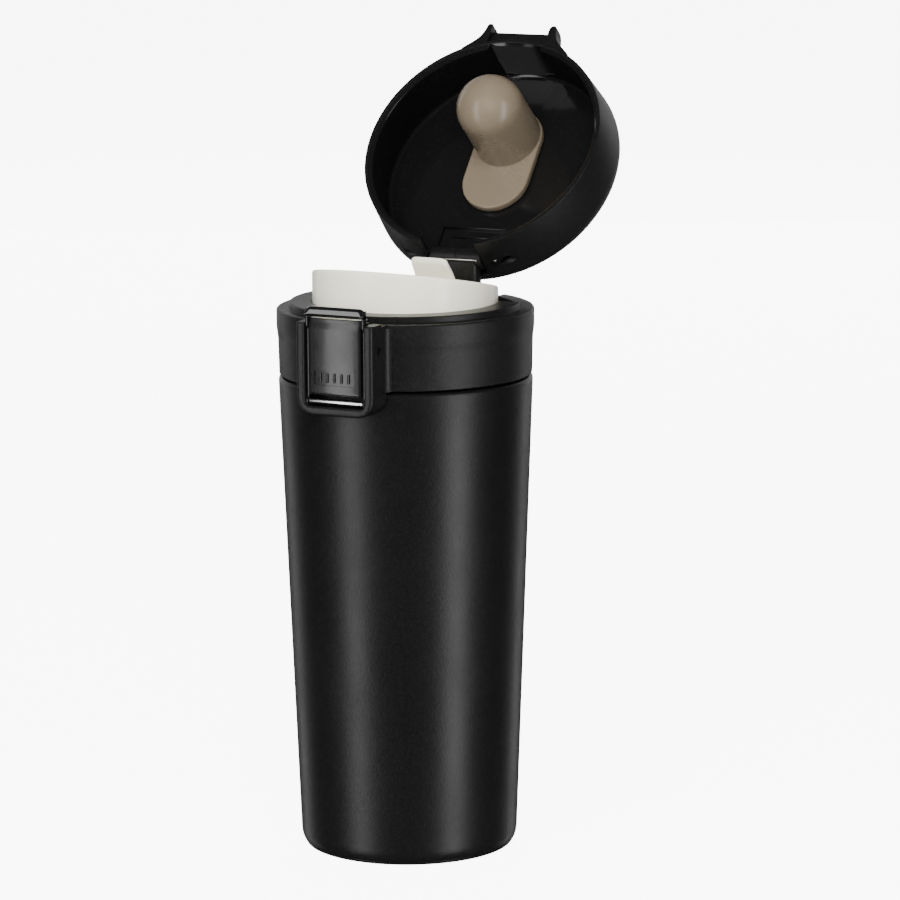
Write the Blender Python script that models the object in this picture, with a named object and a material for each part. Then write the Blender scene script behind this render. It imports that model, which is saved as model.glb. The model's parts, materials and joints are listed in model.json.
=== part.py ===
"""Vacuum travel flask with a one-touch flip cap, in metres, +Z up.

The origin is the centre of the base. The latch faces -Y and the cap's hinge is at +Y.
The cap is modelled closed and stands open on its hinge empty.
"""
import math

import bmesh
import bpy
from mathutils import Matrix, Vector

MM = 0.001
SEGMENTS = 40
GAP = 0.3 * MM

# flask body
FOOT_R = 30.8 * MM
SHOULDER_R = 36.1 * MM
SHOULDER_Z = 134.9 * MM
FOOT_ROUND = 2.8 * MM
BASE_HOLE_R = 27.4 * MM
SHELL_WALL = 0.5 * MM
LINER_WALL = 0.4 * MM
LINER_FLOOR_Z = 7.0 * MM
VACUUM_GAP = 1.9 * MM
NECK_R = 31.0 * MM
NECK_TOP_Z = 149.0 * MM
MOUTH_LIP_Z = 149.8 * MM
THREAD_PITCH = 4.0 * MM
THREAD_WIDTH = 1.3 * MM
THREAD_TURNS = 1.25
SHELL_THREAD_Z = 141.6 * MM

# lid
COLLAR_R = 36.5 * MM
COLLAR_BOTTOM_Z = 136.6 * MM
SHELF_Z = 155.3 * MM
PLATEAU_R = 32.0 * MM
PLATEAU_Z = 157.1 * MM
COLLAR_BORE_R = 26.9 * MM
COLLAR_WALL_R = 34.3 * MM
WEB_TOP_Z = 153.2 * MM
LID_FLOOR_Z = 141.4 * MM
LID_CUP_R = 25.2 * MM
SPOUT_R = 26.3 * MM
SPOUT_WALL = 1.6 * MM
SPOUT_FRONT_Z = 168.7 * MM
SPOUT_BACK_Z = 157.8 * MM
SPOUT_FLOOR_Z = 151.2 * MM
SPOUT_FLOOR_WALL = 1.8 * MM
DRINK_Y = -11.0 * MM
TAB_HALF = 5.6 * MM
TAB_THICK = 1.5 * MM
SEAT_TOP_R = 10.4 * MM
SEAT_BOTTOM_R = 8.5 * MM
VENT_PLACE = (10.0 * MM, 12.0 * MM)

# cap and its hinge
HINGE_Y = 33.9 * MM
HINGE_Z = 164.9 * MM
CAP_OPEN_DEG = 130.0
CAP_RIM_Z = 155.6 * MM
CAP_RIM_R = 36.35 * MM
CAP_CROWN_R = 37.5 * MM
CAP_TOP_Z = 174.7 * MM
CAP_ROUND = 5.2 * MM
CAP_WALL = 1.1 * MM
CAP_LINER_WALL = 0.8 * MM
NOTCH_HALF = 8.7 * MM
NOTCH_TOP_Z = 169.5 * MM
CHEEK_OUTER = 12.9 * MM
CHEEK_R = 2.7 * MM
KNUCKLE_HALF = 8.2 * MM
KNUCKLE_R = 3.0 * MM
PIN_R = 1.0 * MM
PIN_PLAY = 0.15 * MM
PIN_HALF = 12.4 * MM
PIN_ACCESS_R = 2.0 * MM
BOSS_Y = -40.2 * MM
BOSS_BOTTOM_Z = 158.0 * MM
HORN_INNER = 9.45 * MM
HORN_OUTER = 12.2 * MM
HORN_TIP_Y = -42.7 * MM
HORN_BOTTOM_Z = 156.4 * MM
CATCH_HALF = 5.5 * MM
SPRING_ROOM_HALF = 2.7 * MM
STOPPER_R = 10.0 * MM
STOPPER_DOME_Z = 154.7 * MM
STOPPER_PAD_R = 10.4 * MM
STOPPER_PAD_REAR_Y = 3.0 * MM
STOPPER_PAD_Z = 170.0 * MM
STOPPER_WALL = 2.4 * MM

# latch
HOUSING_HALF = 11.7 * MM
HOUSING_FRONT_Y = -43.2 * MM
HOUSING_BOTTOM_Z = 130.7 * MM
HOUSING_TOP_Z = 156.0 * MM
HOUSING_CORNER = 4.5 * MM
WINDOW_HALF = 9.35 * MM
WINDOW_BOTTOM_Z = 132.6 * MM
WINDOW_CORNER = 0.5 * MM
WINDOW_BACK_Y = -37.0 * MM
BUTTON_HALF = 7.9 * MM
BUTTON_FRONT_Y = -42.7 * MM
BUTTON_BACK_Y = -41.1 * MM
BUTTON_BOTTOM_Z = 136.0 * MM
BUTTON_TOP_Z = 157.3 * MM
BUTTON_PIN_Y = -38.9 * MM
BUTTON_PIN_Z = 148.7 * MM
BUTTON_PIN_HALF = 11.3 * MM
LATCH_PIN_R = 0.8 * MM
LOCK_PIN_Y = -41.4 * MM
LOCK_PIN_Z = 134.1 * MM
LOCK_PIN_HALF = 10.5 * MM
LOCK_LEG_INNER = 8.2 * MM
LOCK_LEG_OUTER = 9.1 * MM
LOCK_EYE_R = 1.2 * MM
LOCK_BAR_Z = 157.7 * MM
LOCK_TOP_Z = 160.6 * MM

HINGE = Vector((0, HINGE_Y, HINGE_Z))
BUTTON_AXIS = Vector((0, BUTTON_PIN_Y, BUTTON_PIN_Z))
LOCK_AXIS = Vector((0, LOCK_PIN_Y, LOCK_PIN_Z))


def shell_radius(z):
    """Outside radius of the tapered body at a height."""
    return FOOT_R + (SHOULDER_R - FOOT_R) * z / SHOULDER_Z


def arc(centre, radius, start_deg, end_deg, steps):
    """Points along an arc, from one angle to another, ends included."""
    angles = [math.radians(start_deg + (end_deg - start_deg) * i / steps) for i in range(steps + 1)]
    return [(centre[0] + radius * math.cos(a), centre[1] + radius * math.sin(a)) for a in angles]


def clear_scene():
    for old in list(bpy.data.objects):
        bpy.data.objects.remove(old, do_unlink=True)


def plastic(name, colour, roughness, metallic=0.0):
    """A Principled BSDF of one colour."""
    material = bpy.data.materials.new(name)
    material.use_nodes = True
    shader = material.node_tree.nodes["Principled BSDF"]
    shader.inputs["Base Color"].default_value = (*colour, 1.0)
    shader.inputs["Roughness"].default_value = roughness
    shader.inputs["Metallic"].default_value = metallic
    return material


def joint_empty(name, place, turn_deg=0.0, parent=None):
    """An empty on a joint's axis, which the moving pieces hang from."""
    empty = bpy.data.objects.new(name, None)
    bpy.context.collection.objects.link(empty)
    empty.location = place
    empty.rotation_euler.x = math.radians(turn_deg)
    empty.parent = parent
    return empty


def finish(name, mesh_edit, material=None, axis=None, cutter=False):
    """Turn a bmesh into an object, on its joint's empty if it moves."""
    mesh = bpy.data.meshes.new(name)
    bmesh.ops.remove_doubles(mesh_edit, verts=mesh_edit.verts, dist=1e-6)
    bmesh.ops.recalc_face_normals(mesh_edit, faces=mesh_edit.faces)
    mesh_edit.to_mesh(mesh)
    mesh_edit.free()
    piece = bpy.data.objects.new(name, mesh)
    bpy.context.collection.objects.link(piece)
    if axis:
        mesh.transform(Matrix.Translation(-axis.location))
        piece.parent = axis
    if cutter:
        piece.hide_render = True
        piece.display_type = 'WIRE'
    else:
        mesh.shade_smooth()
        mesh.set_sharp_from_angle(angle=math.radians(35))
        mesh.materials.append(material)
    return piece


def combine(piece, tool, operation):
    """Join a helper shape to a piece, or cut it away."""
    boolean = piece.modifiers.new(tool.name, 'BOOLEAN')
    boolean.operation = operation
    boolean.solver = 'EXACT'
    boolean.object = tool


def turned(outline, closed=True, segments=SEGMENTS):
    """Spin an outline of (radius, height) points about Z. An open one starts and ends on the axis."""
    shape = bmesh.new()
    points = [shape.verts.new((radius, 0, height)) for radius, height in outline]
    edges = [shape.edges.new(pair) for pair in zip(points, points[1:])]
    if closed:
        edges.append(shape.edges.new((points[-1], points[0])))
    bmesh.ops.spin(shape, geom=points + edges, cent=(0, 0, 0), axis=(0, 0, 1), angle=math.tau,
                   steps=segments, use_merge=True)
    return shape


def block(low, high):
    """A box between two corners."""
    size = Vector(high) - Vector(low)
    centre = (Vector(high) + Vector(low)) / 2
    shape = bmesh.new()
    bmesh.ops.create_cube(shape, size=1, matrix=Matrix.Translation(centre) @ Matrix.Diagonal((*size, 1)))
    return shape


def rod(start, end, radius, end_radius=None, segments=24):
    """A cylinder or cone from one point to another."""
    along = Vector(end) - Vector(start)
    place = Matrix.Translation((Vector(start) + Vector(end)) / 2)
    turn = along.to_track_quat('Z', 'Y').to_matrix().to_4x4()
    shape = bmesh.new()
    bmesh.ops.create_cone(shape, cap_ends=True, segments=segments, radius1=radius,
                          radius2=radius if end_radius is None else end_radius,
                          depth=along.length, matrix=place @ turn)
    return shape


def slab(outline, low_x, high_x):
    """Extrude an outline of (y, z) points along X."""
    shape = bmesh.new()
    face = shape.faces.new([shape.verts.new((low_x, y, z)) for y, z in outline])
    grown = bmesh.ops.extrude_face_region(shape, geom=[face])
    moved = [item for item in grown["geom"] if isinstance(item, bmesh.types.BMVert)]
    bmesh.ops.translate(shape, verts=moved, vec=(high_x - low_x, 0, 0))
    return shape


def front_plate(outline, low_y, high_y):
    """Extrude an outline of (x, z) points along Y."""
    shape = bmesh.new()
    face = shape.faces.new([shape.verts.new((x, low_y, z)) for x, z in outline])
    grown = bmesh.ops.extrude_face_region(shape, geom=[face])
    moved = [item for item in grown["geom"] if isinstance(item, bmesh.types.BMVert)]
    bmesh.ops.translate(shape, verts=moved, vec=(0, high_y - low_y, 0))
    return shape


def open_frame(half, low, top, corner, steps):
    """Outline in (x, z) of an upright shape with round lower corners and a square top."""
    right = arc((half - corner, low + corner), corner, -90, 0, steps)
    left = arc((-half + corner, low + corner), corner, 180, 270, steps)
    return right + [(half, top), (-half, top)] + left


def cross_hole(piece, name, centre, half, radius, axis):
    """Bore a running hole for a pin along X."""
    start, end = (-half, centre.y, centre.z), (half, centre.y, centre.z)
    hole = rod(start, end, radius + PIN_PLAY, segments=16)
    combine(piece, finish(name, hole, axis=axis, cutter=True), 'DIFFERENCE')


def thread_ridge(root_r, crest_r, start_z):
    """A helical ridge of trapezoid section, swept by a spin that climbs one pitch a turn."""
    half = THREAD_WIDTH / 2
    crest_half = half * 0.55
    section = [(root_r, -half), (crest_r, -crest_half), (crest_r, crest_half), (root_r, half)]
    shape = bmesh.new()
    face = shape.faces.new([shape.verts.new((r, 0, start_z + z)) for r, z in section])
    steps = round(SEGMENTS * THREAD_TURNS)
    geometry = [face] + list(face.edges) + list(face.verts)
    bmesh.ops.spin(shape, geom=geometry, cent=(0, 0, 0), axis=(0, 0, 1), angle=math.tau * THREAD_TURNS,
                   steps=steps, dvec=(0, 0, THREAD_PITCH / SEGMENTS))
    return shape


def coil(centre, axis_turn, coil_r, wire_r, length, turns, per_turn=12, sides=5):
    """A round-wire helix whose own axis is Z before it is turned and placed."""
    shape = bmesh.new()
    section = Matrix.Translation((coil_r, 0, -length / 2)) @ Matrix.Rotation(math.pi / 2, 4, 'X')
    bmesh.ops.create_circle(shape, segments=sides, radius=wire_r, cap_ends=True, matrix=section)
    geometry = list(shape.faces) + list(shape.edges) + list(shape.verts)
    steps = round(turns * per_turn)
    bmesh.ops.spin(shape, geom=geometry, cent=(0, 0, 0), axis=(0, 0, 1), angle=math.tau * turns,
                   steps=steps, dvec=(0, 0, length / steps))
    bmesh.ops.transform(shape, matrix=Matrix.Translation(centre) @ axis_turn, verts=shape.verts)
    return shape


def outer_shell():
    """Powder-coated steel body, open below, drawn in to a threaded neck."""
    foot = arc((shell_radius(FOOT_ROUND) - FOOT_ROUND, FOOT_ROUND), FOOT_ROUND, -90, 0, 4)
    shoulder = arc((SHOULDER_R - 1.2 * MM, SHOULDER_Z), 1.2 * MM, 0, 90, 3)
    outside = [(BASE_HOLE_R, 0)] + foot + shoulder
    outside += [(NECK_R + 1.0 * MM, SHOULDER_Z + 1.25 * MM), (NECK_R, SHOULDER_Z + 2.3 * MM),
                (NECK_R, NECK_TOP_Z)]
    wall = SHELL_WALL
    inner_foot = arc((shell_radius(FOOT_ROUND) - FOOT_ROUND, FOOT_ROUND), FOOT_ROUND - wall, 0, -90, 4)
    inside = [(NECK_R - wall, NECK_TOP_Z), (NECK_R - wall, SHOULDER_Z + 1.9 * MM),
              (NECK_R + 0.6 * MM, SHOULDER_Z + 0.75 * MM), (SHOULDER_R - 1.5 * MM, SHOULDER_Z + 0.6 * MM),
              (SHOULDER_R - wall, SHOULDER_Z - 0.4 * MM)] + inner_foot + [(BASE_HOLE_R, wall)]
    coat = plastic("powder_coat", (0.012, 0.012, 0.013), 0.55)
    piece = finish("outer_shell", turned(outside + inside), coat)
    ridge = thread_ridge(NECK_R - 0.25 * MM, NECK_R + 0.9 * MM, SHELL_THREAD_Z)
    combine(piece, finish("shell_thread_tool", ridge, cutter=True), 'UNION')


def inner_liner():
    """Polished steel cup that holds the drink, its lip turned out over the neck."""
    grow = (SHOULDER_R - FOOT_R) / SHOULDER_Z
    foot_r = FOOT_R - SHELL_WALL - VACUUM_GAP
    neck_out = NECK_R - SHELL_WALL - 0.35 * MM
    wide_z = 130.0 * MM
    bend = 4.0 * MM
    wide_r = foot_r + grow * wide_z
    corner_r = foot_r + grow * (LINER_FLOOR_Z + bend) - bend
    lip_under = NECK_TOP_Z + GAP
    t = LINER_WALL
    outside = [(0, LINER_FLOOR_Z)] + arc((corner_r, LINER_FLOOR_Z + bend), bend, -90, 0, 4)
    outside += [(wide_r, wide_z), (wide_r - 0.8 * MM, wide_z + 2.6 * MM),
                (neck_out + 0.9 * MM, wide_z + 4.6 * MM), (neck_out, wide_z + 6.6 * MM),
                (neck_out, lip_under), (NECK_R, lip_under), (NECK_R, MOUTH_LIP_Z)]
    inside = [(neck_out - t, MOUTH_LIP_Z), (neck_out - t, wide_z + 6.5 * MM),
              (neck_out + 0.5 * MM, wide_z + 4.4 * MM), (wide_r - 0.8 * MM - t, wide_z + 2.4 * MM),
              (wide_r - t, wide_z - 0.1 * MM)]
    inside += arc((corner_r, LINER_FLOOR_Z + bend), bend - t, 0, -90, 4) + [(0, LINER_FLOOR_Z + t)]
    steel = plastic("liner_steel", (0.6, 0.6, 0.6), 0.25, 1.0)
    finish("inner_liner", turned(outside + inside, closed=False), steel)


def base_pieces():
    """Welded bottom disc, the getter and the solder bead of the vacuum space, and the glued cover."""
    rim_r = BASE_HOLE_R - 0.35 * MM
    disc_z = 2.4 * MM
    wall = 0.6 * MM
    disc = [(0, disc_z), (rim_r - 1.2 * MM, disc_z), (rim_r - wall, 0.8 * MM), (rim_r, 0.8 * MM),
            (rim_r, 1.6 * MM), (rim_r - 0.9 * MM, disc_z + wall), (0, disc_z + wall)]
    finish("vacuum_base", turned(disc, closed=False), plastic("base_steel", (0.5, 0.5, 0.5), 0.4, 1.0))
    pellet = rod((0, 9 * MM, 5.1 * MM), (0, 9 * MM, LINER_FLOOR_Z - GAP), 4.0 * MM)
    finish("getter_pellet", pellet, plastic("getter_alloy", (0.25, 0.24, 0.23), 0.6, 1.0))
    bead = rod((0, 0, 1.65 * MM), (0, 0, disc_z - 0.2 * MM), 2.2 * MM, 1.7 * MM)
    finish("vacuum_seal_bead", bead, plastic("seal_solder", (0.45, 0.44, 0.42), 0.35, 1.0))
    cover_r = 26.0 * MM
    cover = [(0, 0), (cover_r - 0.4 * MM, 0), (cover_r, 0.4 * MM), (cover_r, 1.3 * MM), (0, 1.3 * MM)]
    finish("base_cover", turned(cover, closed=False), plastic("base_plastic", (0.02, 0.02, 0.02), 0.6))


def housing_tool(lid):
    """Block of the latch housing with its round lower corners, hollow behind the push pad."""
    outline = open_frame(HOUSING_HALF, HOUSING_BOTTOM_Z, HOUSING_TOP_Z, HOUSING_CORNER, 4)
    block_shape = front_plate(outline, HOUSING_FRONT_Y, -30 * MM)
    housing = finish("housing_tool", block_shape, axis=lid, cutter=True)
    bevel = housing.modifiers.new("soft_edges", 'BEVEL')
    bevel.width = 0.8 * MM
    bevel.segments = 2
    bevel.limit_method = 'ANGLE'
    bevel.angle_limit = math.radians(60)
    ring_space = rod((0, 0, COLLAR_BOTTOM_Z + 0.5 * MM), (0, 0, SHELF_Z - GAP), 35.2 * MM, segments=SEGMENTS)
    body_space = rod((0, 0, 125 * MM), (0, 0, COLLAR_BOTTOM_Z + 0.6 * MM), 36.6 * MM, segments=SEGMENTS)
    cap_space = rod((0, 0, SHELF_Z - 0.4 * MM), (0, 0, 160 * MM), 37.0 * MM, segments=SEGMENTS)
    hole = open_frame(WINDOW_HALF, WINDOW_BOTTOM_Z, 160 * MM, WINDOW_CORNER, 3)
    window = front_plate(hole, HOUSING_FRONT_Y - 2 * MM, WINDOW_BACK_Y)
    spaces = {"ring_space": ring_space, "body_space": body_space, "cap_space": cap_space,
              "window_space": window}
    for name, tool in spaces.items():
        combine(housing, finish(name + "_tool", tool, axis=lid, cutter=True), 'DIFFERENCE')
    return housing


def bracket_tool(lid):
    """Hinge bracket at the back of the collar: a web that ends in the knuckle."""
    front, back = 31.0 * MM, 34.6 * MM
    low, high = WEB_TOP_Z + 0.6 * MM, HINGE_Z - 1.0 * MM
    web = slab([(front, low), (back, low), (back, high), (front, high)], -KNUCKLE_HALF, KNUCKLE_HALF)
    bracket = finish("bracket_tool", web, axis=lid, cutter=True)
    barrel = rod((-KNUCKLE_HALF, HINGE_Y, HINGE_Z), (KNUCKLE_HALF, HINGE_Y, HINGE_Z), KNUCKLE_R)
    combine(bracket, finish("barrel_tool", barrel, axis=lid, cutter=True), 'UNION')
    cross_hole(bracket, "pin_hole_tool", HINGE, 20 * MM, PIN_R, lid)
    cross_hole(bracket, "spring_room_tool", HINGE, SPRING_ROOM_HALF, KNUCKLE_R - 0.75 * MM, lid)
    return bracket


def collar(lid):
    """Outer sleeve of the lid, in one piece with the latch housing and the hinge bracket."""
    top_r = COLLAR_R
    outline = [(COLLAR_WALL_R, COLLAR_BOTTOM_Z), (35.5 * MM, COLLAR_BOTTOM_Z), (35.9 * MM, 137.0 * MM),
               (36.2 * MM, 147.6 * MM), (top_r, 149.6 * MM), (top_r, SHELF_Z - 1.0 * MM),
               (top_r - 0.3 * MM, SHELF_Z - GAP), (top_r - 1.0 * MM, SHELF_Z),
               (PLATEAU_R + GAP, SHELF_Z), (PLATEAU_R, SHELF_Z + GAP),
               (PLATEAU_R, PLATEAU_Z - 0.4 * MM), (PLATEAU_R - 0.4 * MM, PLATEAU_Z),
               (COLLAR_BORE_R + 0.4 * MM, PLATEAU_Z), (COLLAR_BORE_R, PLATEAU_Z - 0.4 * MM),
               (COLLAR_BORE_R, WEB_TOP_Z + GAP), (COLLAR_WALL_R, WEB_TOP_Z + GAP)]
    piece = finish("collar", turned(outline), plastic("collar_plastic", (0.014, 0.014, 0.015), 0.5), lid)
    rear_step = block((-34 * MM, 9 * MM, SHELF_Z + GAP), (34 * MM, 34 * MM, 160 * MM))
    combine(piece, finish("rear_step_tool", rear_step, axis=lid, cutter=True), 'DIFFERENCE')
    recess = block((-15 * MM, 30 * MM, SHELF_Z - 0.7 * MM), (15 * MM, 40 * MM, 160 * MM))
    combine(piece, finish("hinge_recess_tool", recess, axis=lid, cutter=True), 'DIFFERENCE')
    combine(piece, housing_tool(lid), 'UNION')
    combine(piece, bracket_tool(lid), 'UNION')
    cross_hole(piece, "button_hole_tool", BUTTON_AXIS, 15 * MM, LATCH_PIN_R, lid)
    cross_hole(piece, "lock_hole_tool", LOCK_AXIS, LOCK_PIN_HALF + 0.2 * MM, LATCH_PIN_R, lid)


def lid_body(lid):
    """Threaded core inside the collar, with the plug that goes into the mouth."""
    wall_out = COLLAR_WALL_R - GAP
    wall_in = NECK_R + 1.4 * MM
    plug_r = 27.0 * MM
    flange_r = 28.9 * MM
    floor = LID_FLOOR_Z
    outline = [(0, floor + 1.6 * MM), (LID_CUP_R - 0.6 * MM, floor + 1.6 * MM), (LID_CUP_R, floor + 2.2 * MM),
               (LID_CUP_R, WEB_TOP_Z), (wall_out, WEB_TOP_Z), (wall_out, COLLAR_BOTTOM_Z + 0.7 * MM),
               (wall_in, COLLAR_BOTTOM_Z + 0.7 * MM), (wall_in, 151.0 * MM), (flange_r, 151.0 * MM),
               (flange_r, 149.4 * MM), (plug_r, 149.4 * MM), (plug_r, 146.4 * MM), (flange_r, 146.4 * MM),
               (flange_r, 145.8 * MM), (plug_r, 145.0 * MM), (plug_r - 0.2 * MM, floor + 0.6 * MM),
               (plug_r - 0.8 * MM, floor), (0, floor)]
    black = plastic("lid_plastic", (0.02, 0.02, 0.02), 0.45)
    piece = finish("lid_body", turned(outline, closed=False), black, lid)
    ridge = thread_ridge(wall_in + 0.25 * MM, NECK_R + 0.4 * MM, SHELL_THREAD_Z - THREAD_PITCH / 2)
    combine(piece, finish("lid_thread_tool", ridge, axis=lid, cutter=True), 'UNION')
    well = rod((0, DRINK_Y, floor - MM), (0, DRINK_Y, floor + 3 * MM), 8.0 * MM)
    combine(piece, finish("well_tool", well, axis=lid, cutter=True), 'DIFFERENCE')
    vent = rod((*VENT_PLACE, floor - MM), (*VENT_PLACE, floor + 3 * MM), 1.5 * MM, segments=12)
    combine(piece, finish("lid_vent_tool", vent, axis=lid, cutter=True), 'DIFFERENCE')


def mouth_gasket(seal):
    """Silicone ring on the plug, with two lips towards the mouth's wall."""
    bore, lip, waist = 27.3 * MM, 29.2 * MM, 28.7 * MM
    low, high = 146.75 * MM, 149.05 * MM
    outline = [(bore, low), (28.6 * MM, low), (lip, 147.1 * MM), (waist, 147.6 * MM),
               (waist, 148.1 * MM), (lip, 148.6 * MM), (28.8 * MM, high), (bore, high)]
    finish("mouth_gasket", turned(outline), plastic("gasket_silicone", (0.55, 0.55, 0.52), 0.5), seal)


def tab_blade(low):
    """Pull tab: upright from the bowl's floor, then leaning forward to a finger-wide top."""
    y, bend, top = 19.8 * MM, 161.0 * MM, (14.4 * MM, 167.3 * MM)
    t = TAB_THICK
    blade = [(y, low), (y, bend), (top[0] + 0.4 * t, top[1]), (top[0] - 0.4 * t, top[1] - 0.4 * t),
             (y - t, bend - 0.6 * t), (y - t, low)]
    return slab(blade, -TAB_HALF, TAB_HALF)


def spout(lid):
    """Ivory drinking bowl, higher at the front, with the hole that the stopper closes and a pull tab."""
    neck_r = LID_CUP_R - 0.4 * MM
    groove_r = neck_r - 0.9 * MM
    inner_neck_r = neck_r - 1.4 * MM
    floor = SPOUT_FLOOR_Z
    under = floor - SPOUT_FLOOR_WALL
    rim_z = SPOUT_FRONT_Z + 3 * MM
    outline = [(0, floor), (inner_neck_r - 0.4 * MM, floor), (inner_neck_r, floor + 0.4 * MM),
               (inner_neck_r, WEB_TOP_Z), (SPOUT_R - SPOUT_WALL, WEB_TOP_Z + 1.5 * MM),
               (SPOUT_R - SPOUT_WALL, rim_z), (SPOUT_R, rim_z), (SPOUT_R, WEB_TOP_Z + GAP),
               (neck_r, WEB_TOP_Z + GAP), (neck_r, 152.4 * MM), (groove_r, 152.4 * MM),
               (groove_r, 150.8 * MM), (neck_r, 150.8 * MM), (neck_r, under + 0.4 * MM),
               (neck_r - 0.4 * MM, under), (0, under)]
    shape = turned(outline, closed=False)
    bmesh.ops.remove_doubles(shape, verts=shape.verts, dist=1e-6)
    rise = (SPOUT_FRONT_Z - SPOUT_BACK_Z) / (2 * SPOUT_R)
    middle_z = (SPOUT_FRONT_Z + SPOUT_BACK_Z) / 2
    everything = shape.verts[:] + shape.edges[:] + shape.faces[:]
    slant = Vector((0, rise, 1)).normalized()
    bmesh.ops.bisect_plane(shape, geom=everything, dist=1e-7, plane_co=(0, 0, middle_z), plane_no=slant,
                           clear_outer=True)
    rims = [edge for edge in shape.edges if edge.is_boundary]
    bmesh.ops.bridge_loops(shape, edges=rims)
    piece = finish("spout", shape, plastic("ivory_plastic", (0.78, 0.74, 0.64), 0.25), lid)
    combine(piece, finish("tab_tool", tab_blade(under + 0.6 * MM), axis=lid, cutter=True), 'UNION')
    seat = rod((0, DRINK_Y, under - MM), (0, DRINK_Y, floor + MM), SEAT_BOTTOM_R, SEAT_TOP_R)
    combine(piece, finish("seat_tool", seat, axis=lid, cutter=True), 'DIFFERENCE')
    vent = rod((*VENT_PLACE, under - MM), (*VENT_PLACE, floor + MM), 1.2 * MM, segments=12)
    combine(piece, finish("spout_vent_tool", vent, axis=lid, cutter=True), 'DIFFERENCE')


def spout_gasket(lid):
    """Silicone ring in the spout's groove."""
    outline = [(24.15 * MM, 151.05 * MM), (24.7 * MM, 151.05 * MM), (24.95 * MM, 151.6 * MM),
               (24.7 * MM, 152.15 * MM), (24.15 * MM, 152.15 * MM)]
    finish("spout_gasket", turned(outline), plastic("ring_silicone", (0.6, 0.6, 0.57), 0.5), lid)


def cross_pin(name, centre, half, radius, axis):
    """Steel pin along X."""
    steel = plastic(name + "_steel", (0.6, 0.6, 0.6), 0.25, 1.0)
    start, end = (-half, centre.y, centre.z), (half, centre.y, centre.z)
    finish(name, rod(start, end, radius, segments=16), steel, axis)


def springs(lid):
    """Torsion spring on the hinge pin and compression spring behind the push pad."""
    wire = plastic("spring_wire", (0.55, 0.55, 0.56), 0.3, 1.0)
    along_x = Matrix.Rotation(math.pi / 2, 4, 'Y')
    finish("hinge_spring", coil(HINGE, along_x, 1.75 * MM, 0.32 * MM, 4.2 * MM, 4.5), wire, lid)
    along_y = Matrix.Rotation(math.pi / 2, 4, 'X')
    place = Vector((0, -38.85 * MM, 140.5 * MM))
    pad_wire = plastic("pad_spring_wire", (0.55, 0.55, 0.56), 0.3, 1.0)
    finish("button_spring", coil(place, along_y, 2.0 * MM, 0.28 * MM, 2.5 * MM, 2.5), pad_wire, lid)


def push_button(button):
    """Pad on its pin, with the latch lip along its top."""
    back, front = BUTTON_BACK_Y, BUTTON_FRONT_Y
    lug = BUTTON_PIN_Y + 1.3 * MM
    low, high = BUTTON_BOTTOM_Z, BUTTON_TOP_Z
    outline = [(front, low + 0.6 * MM), (front + 0.5 * MM, low), (back, low), (back, BUTTON_PIN_Z - 2.0 * MM),
               (lug, BUTTON_PIN_Z - 1.5 * MM), (lug, BUTTON_PIN_Z + 1.5 * MM),
               (back, BUTTON_PIN_Z + 2.0 * MM), (back, high - 1.7 * MM), (lug, high - 1.4 * MM),
               (lug, high - 0.5 * MM),
               (lug - 0.6 * MM, high), (front + 0.6 * MM, high), (front, high - 0.6 * MM)]
    black = plastic("pad_plastic", (0.015, 0.015, 0.016), 0.15)
    piece = finish("push_button", slab(outline, -BUTTON_HALF, BUTTON_HALF), black, button)
    cross_hole(piece, "pad_hole_tool", BUTTON_AXIS, 12 * MM, LATCH_PIN_R, button)


def lock_bail(lock):
    """U-shaped lock with two legs on the lower pin and a bar over the pad."""
    out, inn = LOCK_LEG_OUTER, LOCK_LEG_INNER
    top, bar, foot = LOCK_TOP_Z, LOCK_BAR_Z, LOCK_PIN_Z
    corner = 1.6 * MM
    outline = [(-out, foot), (-inn, foot), (-inn, bar), (inn, bar), (inn, foot), (out, foot)]
    outline += arc((out - corner, top - corner), corner, 0, 90, 3)
    outline += arc((-out + corner, top - corner), corner, 90, 180, 3)
    bail = front_plate(outline, LOCK_PIN_Y - LOCK_EYE_R, LOCK_PIN_Y + 0.2 * MM)
    piece = finish("lock_bail", bail, plastic("bail_plastic", (0.015, 0.015, 0.016), 0.15), lock)
    for side, start, end in (("left", -out, -inn), ("right", inn, out)):
        eye = rod((start, LOCK_PIN_Y, LOCK_PIN_Z), (end, LOCK_PIN_Y, LOCK_PIN_Z), LOCK_EYE_R)
        combine(piece, finish(side + "_eye_tool", eye, axis=lock, cutter=True), 'UNION')
    cross_hole(piece, "eye_hole_tool", LOCK_AXIS, 12 * MM, LATCH_PIN_R, lock)


def front_catch(cap):
    """Ledge on the cap's front wall between two horns that cradle the lock bail."""
    root, slope_top = -33 * MM, 167.5 * MM
    ledge = [(root, BOSS_BOTTOM_Z), (BOSS_Y, BOSS_BOTTOM_Z), (BOSS_Y, BOSS_BOTTOM_Z + 2.6 * MM),
             (-36.0 * MM, slope_top), (root, slope_top)]
    boss = finish("boss_tool", slab(ledge, -HORN_OUTER, HORN_OUTER), axis=cap, cutter=True)
    low, high = HORN_BOTTOM_Z, HORN_BOTTOM_Z + 5.2 * MM
    horn = [(root, low), (HORN_TIP_Y + 0.9 * MM, low), (HORN_TIP_Y, low + 0.8 * MM),
            (HORN_TIP_Y + 0.5 * MM, low + 2.2 * MM), (HORN_TIP_Y + 2.9 * MM, high), (root, high)]
    for side, start, end in (("left", -HORN_OUTER, -HORN_INNER), ("right", HORN_INNER, HORN_OUTER)):
        horn_block = finish(side + "_horn_tool", slab(horn, start, end), axis=cap, cutter=True)
        combine(boss, horn_block, 'UNION')
    inside = rod((0, 0, 150 * MM), (0, 0, 180 * MM), CAP_RIM_R - 0.05 * MM, segments=SEGMENTS)
    combine(boss, finish("cap_inside_tool", inside, axis=cap, cutter=True), 'DIFFERENCE')
    return boss


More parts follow.
